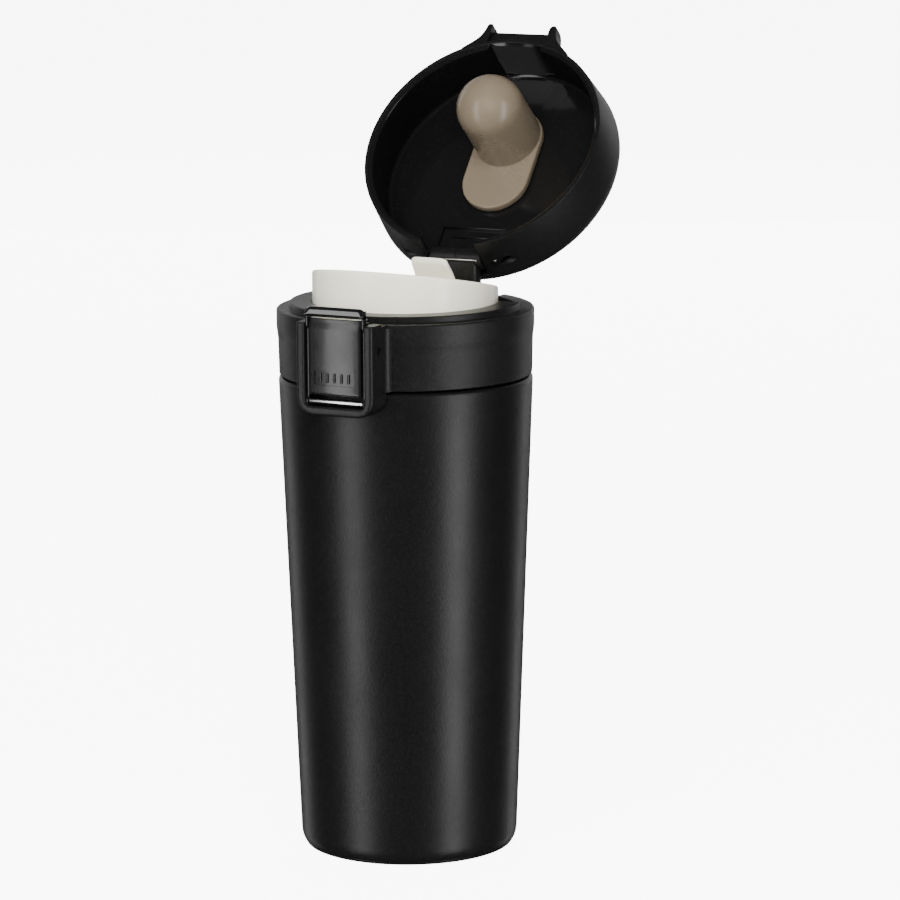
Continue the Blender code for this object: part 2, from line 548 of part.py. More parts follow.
def pin_cheek(cap, side, sign):
    """Boss inside the cap's wall, beside the notch, that the hinge pin runs through."""
    start = (sign * NOTCH_HALF, HINGE_Y, HINGE_Z)
    cheek = rod(start, (sign * CHEEK_OUTER, HINGE_Y, HINGE_Z), CHEEK_R)
    cheek = finish(side + "_cheek_tool", cheek, axis=cap, cutter=True)
    bound = rod((0, 0, 150 * MM), (0, 0, 180 * MM), 36.7 * MM, segments=SEGMENTS)
    combine(cheek, finish(side + "_bound_tool", bound, axis=cap, cutter=True), 'INTERSECT')
    return cheek


def cap_shell(cap):
    """Matt outer cap: flared wall, round crown, hinge notch, pin cheeks and the front catch."""
    round_centre = (CAP_CROWN_R - CAP_ROUND, CAP_TOP_Z - CAP_ROUND)
    inner_round = CAP_ROUND - CAP_WALL
    outline = [(0, CAP_TOP_Z)] + arc(round_centre, CAP_ROUND, 90, 0, 5)
    outline += [(CAP_RIM_R, CAP_RIM_Z + 0.4 * MM), (CAP_RIM_R - 0.35 * MM, CAP_RIM_Z),
                (CAP_RIM_R - CAP_WALL, CAP_RIM_Z)]
    outline += arc(round_centre, inner_round, 0, 90, 4) + [(0, CAP_TOP_Z - CAP_WALL)]
    black = plastic("cap_plastic", (0.014, 0.014, 0.015), 0.5)
    piece = finish("cap_shell", turned(outline, closed=False), black, cap)
    combine(piece, front_catch(cap), 'UNION')
    sides = (("left", -1), ("right", 1))
    for side, sign in sides:
        combine(piece, pin_cheek(cap, side, sign), 'UNION')
    notch = block((-NOTCH_HALF, 28 * MM, 150 * MM), (NOTCH_HALF, 42 * MM, NOTCH_TOP_Z))
    combine(piece, finish("notch_tool", notch, axis=cap, cutter=True), 'DIFFERENCE')
    cross_hole(piece, "bore_tool", HINGE, 20 * MM, PIN_R, cap)
    for side, sign in sides:
        start = (sign * (CHEEK_OUTER - 0.1 * MM), HINGE_Y, HINGE_Z)
        access = rod(start, (sign * 20 * MM, HINGE_Y, HINGE_Z), PIN_ACCESS_R)
        combine(piece, finish(side + "_access_tool", access, axis=cap, cutter=True), 'DIFFERENCE')
    catch = block((-CATCH_HALF, -37.6 * MM, 156.3 * MM), (CATCH_HALF, -35.8 * MM, 158.6 * MM))
    combine(piece, finish("catch_tool", catch, axis=cap, cutter=True), 'DIFFERENCE')


def cap_liner(cap):
    """Gloss inner tub of the cap, with a clear space round the hinge."""
    crown_z = CAP_TOP_Z - CAP_WALL - GAP
    ceiling_z = crown_z - CAP_LINER_WALL
    out_low = CAP_RIM_R - CAP_WALL - GAP
    out_high = CAP_CROWN_R - CAP_WALL - GAP
    wall = CAP_LINER_WALL
    turn = CAP_ROUND - CAP_WALL - GAP
    centre = (out_high - turn, crown_z - turn)
    outline = [(0, crown_z)] + arc(centre, turn, 90, 0, 4)
    outline += [(out_low, CAP_RIM_Z + 0.4 * MM), (out_low - wall, CAP_RIM_Z + 0.4 * MM)]
    outline += [(out_high - wall, centre[1] - 0.5 * MM), (out_high - wall - 0.4 * MM, centre[1] + 1.2 * MM),
                (out_high - wall - 2.4 * MM, ceiling_z), (0, ceiling_z)]
    gloss = plastic("liner_plastic", (0.01, 0.01, 0.01), 0.1)
    piece = finish("cap_liner", turned(outline, closed=False), gloss, cap)
    half = CHEEK_OUTER + GAP
    space = block((-half, 28 * MM, 150 * MM), (half, 42 * MM, NOTCH_TOP_Z))
    combine(piece, finish("hinge_space_tool", space, axis=cap, cutter=True), 'DIFFERENCE')


def stopper(cap):
    """Silicone stopper: long pad against the cap's ceiling and a hollow round-nosed plug."""
    top = CAP_TOP_Z - CAP_WALL - GAP - CAP_LINER_WALL - GAP
    r = STOPPER_R
    nose = arc((0, STOPPER_DOME_Z), r, -10, -80, 7)
    hollow_r = r - STOPPER_WALL
    hollow_z = STOPPER_DOME_Z - 1.2 * MM
    outline = [(0, hollow_z), (hollow_r, hollow_z), (hollow_r, top), (r, top), (r, STOPPER_DOME_Z)] + nose
    outline += [(0, STOPPER_DOME_Z - r)]
    shape = turned(outline, closed=False, segments=32)
    bmesh.ops.translate(shape, verts=shape.verts, vec=(0, DRINK_Y, 0))
    piece = finish("stopper", shape, plastic("taupe_silicone", (0.36, 0.28, 0.22), 0.45), cap)
    pad = bmesh.new()
    ends = ((STOPPER_PAD_REAR_Y, 0), (DRINK_Y, 180))
    ring = []
    for middle, start in ends:
        ring += arc((0, middle), STOPPER_PAD_R, start, start + 180, 12)
    face = pad.faces.new([pad.verts.new((x, y, STOPPER_PAD_Z)) for x, y in ring])
    grown = bmesh.ops.extrude_face_region(pad, geom=[face])
    moved = [item for item in grown["geom"] if isinstance(item, bmesh.types.BMVert)]
    bmesh.ops.translate(pad, verts=moved, vec=(0, 0, top - STOPPER_PAD_Z))
    combine(piece, finish("pad_tool", pad, axis=cap, cutter=True), 'UNION')
    core_space = rod((0, DRINK_Y, hollow_z), (0, DRINK_Y, top + MM), hollow_r, segments=32)
    combine(piece, finish("core_space_tool", core_space, axis=cap, cutter=True), 'DIFFERENCE')
    core = rod((0, DRINK_Y, hollow_z + GAP), (0, DRINK_Y, top), hollow_r - GAP, segments=32)
    finish("stopper_core", core, plastic("core_plastic", (0.03, 0.03, 0.03), 0.4), cap)


def build():
    clear_scene()
    outer_shell()
    inner_liner()
    base_pieces()
    seal = joint_empty("lid_lift_axis", (0, 0, 0))
    lid = joint_empty("lid_turn_axis", (0, 0, 0), parent=seal)
    mouth_gasket(seal)
    collar(lid)
    lid_body(lid)
    spout(lid)
    spout_gasket(lid)
    cross_pin("hinge_pin", HINGE, PIN_HALF, PIN_R, lid)
    cross_pin("button_pin", BUTTON_AXIS, BUTTON_PIN_HALF, LATCH_PIN_R, lid)
    cross_pin("lock_pin", LOCK_AXIS, LOCK_PIN_HALF, LATCH_PIN_R, lid)
    springs(lid)
    button = joint_empty("button_axis", BUTTON_AXIS, parent=lid)
    push_button(button)
    lock = joint_empty("lock_axis", LOCK_AXIS, parent=lid)
    lock_bail(lock)
    cap = joint_empty("cap_axis", HINGE, turn_deg=-CAP_OPEN_DEG, parent=lid)
    cap_shell(cap)
    cap_liner(cap)
    stopper(cap)


build()
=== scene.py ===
import json
import math

import bmesh
import bpy
from mathutils import Matrix, Vector


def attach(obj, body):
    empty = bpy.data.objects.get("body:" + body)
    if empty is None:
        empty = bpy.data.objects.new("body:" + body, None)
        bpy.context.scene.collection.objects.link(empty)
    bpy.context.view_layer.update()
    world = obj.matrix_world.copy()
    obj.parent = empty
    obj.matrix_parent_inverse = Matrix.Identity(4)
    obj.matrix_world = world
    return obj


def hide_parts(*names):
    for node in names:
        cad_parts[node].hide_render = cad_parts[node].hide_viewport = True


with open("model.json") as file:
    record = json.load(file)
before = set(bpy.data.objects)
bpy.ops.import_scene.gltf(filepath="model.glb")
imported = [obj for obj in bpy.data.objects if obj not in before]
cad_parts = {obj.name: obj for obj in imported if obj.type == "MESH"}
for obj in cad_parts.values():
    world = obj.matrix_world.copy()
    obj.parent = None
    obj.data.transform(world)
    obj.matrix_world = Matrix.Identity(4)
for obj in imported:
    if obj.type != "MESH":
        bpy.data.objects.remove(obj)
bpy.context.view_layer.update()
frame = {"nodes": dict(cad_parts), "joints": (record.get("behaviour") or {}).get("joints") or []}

# ---------------------------------------------------------------- camera
# A long lens a little above the cap, with the latch turned to the left of the view.
# Angles are of the eye about the flask's axis, and of the lens from level.
view_azimuth = math.radians(27.4)
eye_distance, eye_height = 1.2815, 0.3470
look_down = math.radians(10.312)
look_aside = math.radians(0.553)
lens_roll = math.radians(-0.362)
forward = Vector((math.sin(look_aside) * math.cos(look_down), math.cos(look_aside) * math.cos(look_down),
                  -math.sin(look_down)))
level_right = forward.cross(Vector((0, 0, 1))).normalized()
level_up = level_right.cross(forward)
lens_right = math.cos(lens_roll) * level_right + math.sin(lens_roll) * level_up
lens_up = -math.sin(lens_roll) * level_right + math.cos(lens_roll) * level_up
camera = bpy.data.objects.new("camera", bpy.data.cameras.new("camera"))
bpy.context.scene.collection.objects.link(camera)
stand = Matrix((lens_right, lens_up, -forward)).transposed().to_4x4()
stand.translation = (0, -eye_distance, eye_height)
camera.matrix_world = Matrix.Rotation(view_azimuth, 4, 'Z') @ stand
camera.data.sensor_width = 36
camera.data.lens = 183.3
camera.data.clip_start, camera.data.clip_end = 0.05, 50
bpy.context.scene.camera = camera

# ---------------------------------------------------------------- studio
# White paper sweep in a bright room. The paper and the fill lamps stay out of glossy reflections, as they
# do with flags in a real studio; two upright strip boxes and a pale panel behind draw the highlights.
def paper_finish(name, glow):
    """White paper with a little light of its own, like a lit sweep."""
    paper = bpy.data.materials.new(name)
    paper.use_nodes = True
    shader = paper.node_tree.nodes["Principled BSDF"]
    shader.inputs["Base Color"].default_value = (0.93, 0.93, 0.93, 1)
    shader.inputs["Roughness"].default_value = 0.9
    shader.inputs["Specular IOR Level"].default_value = 0.1
    shader.inputs["Emission Color"].default_value = (1, 1, 1, 1)
    shader.inputs["Emission Strength"].default_value = glow
    return paper


def paper_sheet(name, radius, height, material):
    """A round sheet on the floor, which isn't part of the flask."""
    edit = bmesh.new()
    bmesh.ops.create_circle(edit, cap_ends=True, segments=96, radius=radius,
                            matrix=Matrix.Translation((0, 0, height)))
    mesh = bpy.data.meshes.new(name)
    edit.to_mesh(mesh)
    edit.free()
    mesh.materials.append(material)
    sheet = bpy.data.objects.new(name, mesh)
    bpy.context.scene.collection.objects.link(sheet)
    return sheet


studio_floor = paper_sheet("studio_floor", 9.0, 0.0, paper_finish("white_paper", 8.0))
studio_floor.visible_glossy = False
studio_floor.visible_diffuse = False
studio_floor.visible_shadow = False
table_sheet = paper_sheet("table_sheet", 0.26, -0.0005, paper_finish("table_paper", 0.25))
table_sheet.visible_camera = False
table_sheet.visible_glossy = False
table_sheet.visible_shadow = False

room = bpy.data.worlds.new("room")
room.use_nodes = True
room_nodes, room_links = room.node_tree.nodes, room.node_tree.links
seen_room, dim_room = room_nodes["Background"], room_nodes.new('ShaderNodeBackground')
seen_room.inputs["Color"].default_value = (1, 1, 1, 1)
seen_room.inputs["Strength"].default_value = 9.0
dim_room.inputs["Color"].default_value = (1, 1, 1, 1)
dim_room.inputs["Strength"].default_value = 0.05
which_ray, room_mix = room_nodes.new('ShaderNodeLightPath'), room_nodes.new('ShaderNodeMixShader')
room_links.new(which_ray.outputs["Is Camera Ray"], room_mix.inputs["Fac"])
room_links.new(dim_room.outputs["Background"], room_mix.inputs[1])
room_links.new(seen_room.outputs["Background"], room_mix.inputs[2])
room_links.new(room_mix.outputs["Shader"], room_nodes["World Output"].inputs["Surface"])
bpy.context.scene.world = room


def studio_lamp(name, turn_deg, distance, height, width, tall, brightness, reflected=True):
    """A rectangular lamp that faces the flask; brightness is its radiance."""
    lamp = bpy.data.lights.new(name, 'AREA')
    lamp.shape = 'RECTANGLE'
    lamp.size, lamp.size_y = width, tall
    lamp.energy = brightness * math.pi * width * tall
    holder = bpy.data.objects.new(name, lamp)
    bpy.context.scene.collection.objects.link(holder)
    turn = view_azimuth + math.radians(turn_deg)
    holder.location = (distance * math.sin(turn), -distance * math.cos(turn), height)
    aim = Vector((0, 0, min(height, 0.12))) - holder.location
    holder.rotation_euler = aim.to_track_quat('-Z', 'Y').to_euler()
    holder.visible_camera = False
    holder.visible_glossy = reflected


studio_lamp("strip_left", -52, 1.1, 0.05, 0.26, 1.4, 4.2)
studio_lamp("strip_right", 47, 1.1, 0.05, 0.31, 1.4, 4.4)
studio_lamp("strip_back_left", -138, 1.2, 0.05, 0.3, 1.4, 1.0)
studio_lamp("strip_back_right", 138, 1.2, 0.05, 0.3, 1.4, 1.0)
studio_lamp("panel_behind", 180, 1.3, 0.35, 1.5, 0.9, 0.8)
studio_lamp("overhead", 0, 0.05, 1.5, 0.9, 0.9, 2.5, reflected=False)
studio_lamp("fill_front", -10, 1.3, 0.75, 1.2, 1.2, 12.0, reflected=False)
studio_lamp("fill_behind", 170, 1.3, 0.9, 1.2, 1.2, 2.5, reflected=False)

# ---------------------------------------------------------------- painted body
# Steel body drawn in to a bare threaded neck, powder-coated matt black up to the shoulder.
# The coat is an even fine grain with a few slightly brighter specks.
MM = 0.001


def rounded(corners, steps=5, closed=True):
    """An outline from corners (a, b, ease): a curve rounds each corner, starting that far from it."""
    count = len(corners)
    outline = []
    for i, (a, b, *ease) in enumerate(corners):
        corner = Vector((a, b))
        size = ease[0] if ease else 0
        if size <= 0 or (not closed and i in (0, count - 1)):
            outline.append((a, b))
            continue
        before = Vector(corners[i - 1][:2]) - corner
        after = Vector(corners[(i + 1) % count][:2]) - corner
        start = corner + before.normalized() * min(size, before.length * 0.48)
        end = corner + after.normalized() * min(size, after.length * 0.48)
        for k in range(steps + 1):
            t = k / steps
            point = start * (1 - t) ** 2 + corner * 2 * t * (1 - t) + end * t * t
            outline.append((point.x, point.y))
    return outline


def spun(outline, steps=160, closed=True):
    """Turn an outline of (radius, height) about Z, in millimetres."""
    edit = bmesh.new()
    points = [edit.verts.new((radius, 0, height)) for radius, height in outline]
    edges = [edit.edges.new(pair) for pair in zip(points, points[1:])]
    if closed:
        edges.append(edit.edges.new((points[-1], points[0])))
    bmesh.ops.spin(edit, geom=points + edges, cent=(0, 0, 0), axis=(0, 0, 1), angle=math.tau, steps=steps,
                   use_merge=True)
    bmesh.ops.remove_doubles(edit, verts=edit.verts, dist=0.001)
    return edit


def add_piece(name, edit, material, body, stands_for=(), sharp_deg=40):
    """Scale a finished mesh from millimetres to metres and hang it on its body."""
    bmesh.ops.remove_doubles(edit, verts=edit.verts, dist=0.0005)
    bmesh.ops.recalc_face_normals(edit, faces=edit.faces)
    bmesh.ops.scale(edit, vec=(MM, MM, MM), verts=edit.verts)
    mesh = bpy.data.meshes.new(name)
    edit.to_mesh(mesh)
    edit.free()
    mesh.shade_smooth()
    mesh.set_sharp_from_angle(angle=math.radians(sharp_deg))
    mesh.materials.append(material)
    piece = bpy.data.objects.new(name, mesh)
    bpy.context.scene.collection.objects.link(piece)
    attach(piece, body)
    if stands_for:
        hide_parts(*stands_for)
    return piece


def node_group(name, sockets_in, sockets_out):
    """An empty shader group with its group input and output."""
    group = bpy.data.node_groups.new(name, 'ShaderNodeTree')
    for label, value in sockets_in:
        socket = group.interface.new_socket(label, in_out='INPUT', socket_type='NodeSocketFloat')
        socket.default_value = value
    for label in sockets_out:
        group.interface.new_socket(label, in_out='OUTPUT', socket_type='NodeSocketFloat')
    return group, group.nodes.new('NodeGroupInput'), group.nodes.new('NodeGroupOutput')


def build_grain_group():
    """Height and speck mask of a sprayed or spark-textured skin, sized in grains per metre."""
    group, given, made = node_group("skin_grain", [("Scale", 3000.0), ("Speck Share", 0.1)],
                                    ["Height", "Specks"])
    nodes, links = group.nodes, group.links
    place = nodes.new('ShaderNodeTexCoord')
    fine = nodes.new('ShaderNodeTexNoise')
    fine.inputs["Detail"].default_value = 3
    fine.inputs["Roughness"].default_value = 0.6
    cells = nodes.new('ShaderNodeTexVoronoi')
    links.new(place.outputs["Object"], fine.inputs["Vector"])
    links.new(place.outputs["Object"], cells.inputs["Vector"])
    links.new(given.outputs["Scale"], fine.inputs["Scale"])
    links.new(given.outputs["Scale"], cells.inputs["Scale"])
    share = nodes.new('ShaderNodeMath')
    share.operation = 'SUBTRACT'
    share.inputs[0].default_value = 1.0
    links.new(given.outputs["Speck Share"], share.inputs[1])
    over = nodes.new('ShaderNodeMath')
    over.operation = 'GREATER_THAN'
    tint = nodes.new('ShaderNodeSeparateColor')
    links.new(cells.outputs["Color"], tint.inputs["Color"])
    links.new(tint.outputs["Red"], over.inputs[0])
    links.new(share.outputs[0], over.inputs[1])
    links.new(fine.outputs["Fac"], made.inputs["Height"])
    links.new(over.outputs[0], made.inputs["Specks"])
    return group


def build_handling_group():
    """Soft cloudy mask of handling: skin oil, dust and faint rubbing, from 0 to 1."""
    group, given, made = node_group("handling", [("Scale", 40.0)], ["Smudge"])
    nodes, links = group.nodes, group.links
    place = nodes.new('ShaderNodeTexCoord')
    cloud = nodes.new('ShaderNodeTexNoise')
    cloud.inputs["Detail"].default_value = 5
    cloud.inputs["Roughness"].default_value = 0.55
    cloud.inputs["Distortion"].default_value = 0.6
    spread = nodes.new('ShaderNodeMapRange')
    spread.inputs["From Min"].default_value = 0.35
    spread.inputs["From Max"].default_value = 0.68
    links.new(place.outputs["Object"], cloud.inputs["Vector"])
    links.new(given.outputs["Scale"], cloud.inputs["Scale"])
    links.new(cloud.outputs["Fac"], spread.inputs["Value"])
    links.new(spread.outputs["Result"], made.inputs["Smudge"])
    return group


grain_group = build_grain_group()
handling_group = build_handling_group()


def moulded(name, colour, speck_colour, roughness, grain_scale, grain_depth, speck_share=0.08, metallic=0.0,
            smudge_scale=40.0, coat=0.0, soft_light=0.0):
    """A sprayed, moulded or drawn finish: even colour with specks, handled roughness and grain relief.
    roughness is the (clean, handled) pair and grain_depth is in millimetres."""
    material = bpy.data.materials.new(name)
    material.use_nodes = True
    nodes, links = material.node_tree.nodes, material.node_tree.links
    shader = nodes["Principled BSDF"]
    shader.inputs["Metallic"].default_value = metallic
    shader.inputs["Coat Weight"].default_value = coat
    shader.inputs["Coat Roughness"].default_value = 0.08
    shader.inputs["Subsurface Weight"].default_value = soft_light
    shader.inputs["Subsurface Radius"].default_value = (0.0012, 0.0009, 0.0006)
    shader.inputs["Subsurface Scale"].default_value = 1.0
    grain = nodes.new('ShaderNodeGroup')
    grain.node_tree = grain_group
    grain.inputs["Scale"].default_value = grain_scale
    grain.inputs["Speck Share"].default_value = speck_share
    handling = nodes.new('ShaderNodeGroup')
    handling.node_tree = handling_group
    handling.inputs["Scale"].default_value = smudge_scale
    mix = nodes.new('ShaderNodeMix')
    mix.data_type = 'RGBA'
    mix.inputs[6].default_value = (*colour, 1)
    mix.inputs[7].default_value = (*speck_colour, 1)
    links.new(grain.outputs["Specks"], mix.inputs[0])
    links.new(mix.outputs[2], shader.inputs["Base Color"])
    shine = nodes.new('ShaderNodeMapRange')
    shine.inputs["To Min"].default_value, shine.inputs["To Max"].default_value = roughness
    links.new(handling.outputs["Smudge"], shine.inputs["Value"])
    links.new(shine.outputs["Result"], shader.inputs["Roughness"])
    bump = nodes.new('ShaderNodeBump')
    bump.inputs["Strength"].default_value = 0.6
    bump.inputs["Distance"].default_value = grain_depth * MM
    links.new(grain.outputs["Height"], bump.inputs["Height"])
    links.new(bump.outputs["Normal"], shader.inputs["Normal"])
    return material


powder_coat = moulded("powder_coat", (0.0032, 0.0032, 0.0034), (0.0046, 0.0046, 0.0048), (0.32, 0.37),
                      2500, 0.065, speck_share=0.12)
neck_steel = moulded("neck_steel", (0.62, 0.61, 0.59), (0.55, 0.54, 0.53), (0.22, 0.32), 1500, 0.01,
                     metallic=1.0)
shoulder_radius, shoulder_top, paint_edge = 36.1, 136.1, 136.6
body_corners = [(27.4, 0, 0.3), (29.3, 0, 0.8), (29.95, 0.95, 0.15), (29.85, 1.1, 0.1), (30.3, 1.5, 0.5),
                (30.95, 3.4, 1.4), (shoulder_radius, shoulder_top, 1.5), (32.2, 136.15, 0.4),
                (31.0, 137.2, 0.8), (31.0, 149.0, 0.2), (30.5, 149.0, 0.2), (30.5, 136.9, 0.6),
                (31.6, 135.6, 0.6), (35.4, 135.4, 1.0), (30.3, 0.5, 2.5), (27.4, 0.5, 0.1)]
body_edit = spun(rounded(body_corners), steps=192)
bmesh.ops.bisect_plane(body_edit, geom=body_edit.verts[:] + body_edit.edges[:] + body_edit.faces[:],
                       plane_co=(0, 0, paint_edge), plane_no=(0, 0, 1))


def thread_ridge(edit, root_radius, crest_radius, start_height, pitch=4.0, width=1.3, turns=1.25,
                 per_turn=96):
    """A helical ridge with sloping flanks, swept by a climbing spin."""
    half = width / 2
    section = [(root_radius, -half), (crest_radius, -half * 0.5), (crest_radius, half * 0.5),
               (root_radius, half)]
    face = edit.faces.new([edit.verts.new((r, 0, start_height + z)) for r, z in section])
    bmesh.ops.spin(edit, geom=[face] + list(face.edges) + list(face.verts), cent=(0, 0, 0), axis=(0, 0, 1),
                   angle=math.tau * turns, steps=round(per_turn * turns), dvec=(0, 0, pitch / per_turn))


thread_ridge(body_edit, 30.8, 31.9, 141.6)
painted_body = add_piece("painted_body", body_edit, powder_coat, "flask", ["outer_shell"])
painted_body.data.materials.append(neck_steel)
for face in painted_body.data.polygons:
    face.material_index = 1 if face.center.z > paint_edge * MM else 0

# ---------------------------------------------------------------- foot
# Moulded plastic cover with two turned rings, glued into the foot over the welded steel dish.
# It stands level with the rolled edge of the body, so the flask rests on both.
foot_plastic = moulded("foot_plastic", (0.02, 0.02, 0.021), (0.035, 0.035, 0.035), (0.5, 0.62), 2200, 0.06)
cover_corners = [(0, 0), (8.0, 0, 0.2), (8.3, 0.3, 0.2), (9.1, 0.3, 0.2), (9.4, 0, 0.2), (19.6, 0, 0.2),
                 (20.0, 0.4, 0.2), (20.8, 0.4, 0.2), (21.2, 0, 0.2), (26.0, 0, 0.5), (26.0, 1.3, 0.2),
                 (0, 1.3)]
cover_edit = spun(rounded(cover_corners, steps=3, closed=False), steps=128, closed=False)
add_piece("foot_cover", cover_edit, foot_plastic, "flask", ["base_cover"])

# ---------------------------------------------------------------- collar
# Satin black moulding that carries latch and hinge: a sleeve with a soft bulge at the top,
# a flat shelf where the cap's rim lands, and a low raised ring round the spout.
satin_black = moulded("satin_black", (0.0045, 0.0045, 0.0046), (0.0068, 0.0068, 0.007), (0.38, 0.45), 2400,
                      0.075, speck_share=0.15)
collar_radius, shelf_height, plateau_height = 36.5, 155.3, 157.1
collar_corners = [(34.3, 136.6, 0.2), (35.85, 136.6, 0.5), (36.1, 147.6, 1.6), (collar_radius, 149.8, 1.6),
                  (collar_radius, shelf_height, 0.8), (32.95, shelf_height, 0.25),
                  (32.8, plateau_height, 0.45), (31.5, plateau_height), (31.3, plateau_height),
                  (26.5, plateau_height, 0.3), (26.5, 153.5, 0.2), (34.3, 153.5, 0.3)]
collar_edit = spun(rounded(collar_corners), steps=192)


def cut_lines(edit, point, normal):
    """Add an edge loop where a plane crosses the mesh."""
    bmesh.ops.bisect_plane(edit, geom=edit.verts[:] + edit.edges[:] + edit.faces[:], plane_co=point,
                           plane_no=normal)


def lower_step(edit, height, inside):
    """Push down to a height what the test picks."""
    for vert in edit.verts:
        if vert.co.z > height and inside(vert.co):
            vert.co.z = height


low_half_y, gutter_height, gutter_radius = 9.1, 153.9, 31.4
for step_y in (9.0, 9.25):
    cut_lines(collar_edit, (0, step_y, 0), (0, 1, 0))
lower_step(collar_edit, shelf_height, lambda co: co.y > low_half_y)
lower_step(collar_edit, gutter_height,
           lambda co: co.y > low_half_y and math.hypot(co.x, co.y) < gutter_radius)
for side in (-1, 1):
    for edge_x in (15.0, 15.2):
        cut_lines(collar_edit, (side * edge_x, 0, 0), (1, 0, 0))
for edge_y in (29.8, 30.0):
    cut_lines(collar_edit, (0, edge_y, 0), (0, 1, 0))
lower_step(collar_edit, shelf_height - 0.7, lambda co: co.y > 29.9 and abs(co.x) < 15.1)
add_piece("collar_sleeve", collar_edit, satin_black, "lid", ["collar"])

# ---------------------------------------------------------------- latch housing
# Part of the collar moulding: a frame with round lower corners that stands out from the sleeve,
# open at the top, with soft webs where its sides run into the sleeve. A hole through each side takes
# the push pad's pin.
housing_half, housing_front, housing_bottom, housing_top = 11.9, -43.2, 130.2, 156.0
window_half, window_bottom = 9.35, 132.6
pad_pin_y, pad_pin_z = -38.9, 148.7


def extruded(points, move):
    """A solid between a flat outline and its copy, moved away."""
    edit = bmesh.new()
    face = edit.faces.new([edit.verts.new(point) for point in points])
    grown = bmesh.ops.extrude_face_region(edit, geom=[face])
    moved = [item for item in grown["geom"] if isinstance(item, bmesh.types.BMVert)]
    bmesh.ops.translate(edit, verts=moved, vec=move)
    return edit


def plate(outline, low_y, high_y):
    """Extrude an outline of (x, z) points along Y."""
    return extruded([(x, low_y, z) for x, z in outline], (0, high_y - low_y, 0))


def slab(outline, low_z, high_z):
    """Extrude an outline of (x, y) points along Z."""
    return extruded([(x, y, low_z) for x, y in outline], (0, 0, high_z - low_z))


def lying(y, z, side=1):
    """The place of a spun shape whose axis runs along X through (y, z)."""
    return Matrix.Translation((0, y, z)) @ Matrix.Rotation(side * math.pi / 2, 4, 'Y')


def soften(edit, width, segments=3, over_deg=35, chosen=lambda edge: True):
    """Round the edges that are sharper than an angle."""
    sharp = [edge for edge in edit.edges if len(edge.link_faces) == 2
             and edge.calc_face_angle() > math.radians(over_deg) and chosen(edge)]
    bmesh.ops.bevel(edit, geom=sharp, offset=width, segments=segments, affect='EDGES', profile=0.5,
                    material=-1, clamp_overlap=True)


frame_outer = [(-housing_half, housing_top), (-housing_half, housing_bottom, 5.8),
               (housing_half, housing_bottom, 5.8), (housing_half, housing_top)]
frame_inner = [(window_half, housing_top), (window_half, window_bottom, 2.2),
               (-window_half, window_bottom, 2.2), (-window_half, housing_top)]
frame_outline = rounded(frame_outer, steps=8, closed=False) + rounded(frame_inner, steps=5, closed=False)
housing_edit = plate(frame_outline, housing_front, -35.0)
for line_x in (-6, -3, 0, 3, 6):
    cut_lines(housing_edit, (line_x, 0, 0), (1, 0, 0))
cut_lines(housing_edit, (0, 0, 136.4), (0, 0, 1))
cut_lines(housing_edit, (0, 0, 136.9), (0, 0, 1))
soften(housing_edit, 1.0, segments=5, chosen=lambda edge: all(
    vert.co.y < -40 and (abs(vert.co.x) > 10.5 or vert.co.z < 132.3) for vert in edge.verts))
soften(housing_edit, 0.5, chosen=lambda edge: all(vert.co.y < -40 for vert in edge.verts))
for step_y in (-37.4, -37.2):
    cut_lines(housing_edit, (0, step_y, 0), (0, 1, 0))
lower_step(housing_edit, shelf_height, lambda co: co.y > -37.3)
for vert in housing_edit.verts:
    if vert.co.y > -36:
        clear_radius = 36.7 if vert.co.z < 136.6 else 35.7
        vert.co.y = -math.sqrt(clear_radius ** 2 - vert.co.x ** 2)
latch_housing = add_piece("latch_housing", housing_edit, satin_black, "lid")


def carve(piece, cutter_edit):
    """Cut a shape out of a piece and keep the result as its mesh."""
    bmesh.ops.recalc_face_normals(cutter_edit, faces=cutter_edit.faces)
    bmesh.ops.scale(cutter_edit, vec=(MM, MM, MM), verts=cutter_edit.verts)
    mesh = bpy.data.meshes.new("cutter")
    cutter_edit.to_mesh(mesh)
    cutter_edit.free()
    cutter = bpy.data.objects.new("cutter", mesh)
    bpy.context.scene.collection.objects.link(cutter)
    cut = piece.modifiers.new("cut", 'BOOLEAN')
    cut.operation = 'DIFFERENCE'
    cut.object = cutter
    bpy.context.view_layer.update()
    done = bpy.data.meshes.new_from_object(piece.evaluated_get(bpy.context.evaluated_depsgraph_get()))
    piece.modifiers.clear()
    done.shade_smooth()
    done.set_sharp_from_angle(angle=math.radians(35))
    piece.data = done
    bpy.data.objects.remove(cutter)
    bpy.data.meshes.remove(mesh)


hole_radius, hole_half = 1.15, 13
pin_hole = spun([(0, -hole_half), (hole_radius, -hole_half), (hole_radius, hole_half), (0, hole_half)],
                steps=24, closed=False)
bmesh.ops.transform(pin_hole, matrix=lying(pad_pin_y, pad_pin_z), verts=pin_hole.verts)
carve(latch_housing, pin_hole)

back_plate = plate([(-9.5, 131.6), (9.5, 131.6), (9.5, 155.0), (-9.5, 155.0)], -37.1, -36.8)
add_piece("housing_back", back_plate, satin_black, "lid")

sides = ((-1, "left"), (1, "right"))
web_radius, web_bottom, web_top = 2.4, 136.75, 154.4
web_centre = Vector((housing_half + web_radius, 0))
web_centre.y = -math.sqrt((collar_radius + web_radius) ** 2 - web_centre.x ** 2)
web_end = math.atan2(-web_centre.y, -web_centre.x)
for side, name in sides:
    turns = [math.pi + (web_end - math.pi) * k / 8 for k in range(9)]
    curve = [(web_centre.x + web_radius * math.cos(a), web_centre.y + web_radius * math.sin(a))
             for a in turns]
    web_plan = [(housing_half - 0.6, web_centre.y), *curve, (curve[-1][0] - 0.2, -33.2),
                (housing_half - 0.6, -33.6)]
    web_edit = slab([(side * x, y) for x, y in web_plan], web_bottom, web_top)
    add_piece("housing_web_" + name, web_edit, satin_black, "lid")

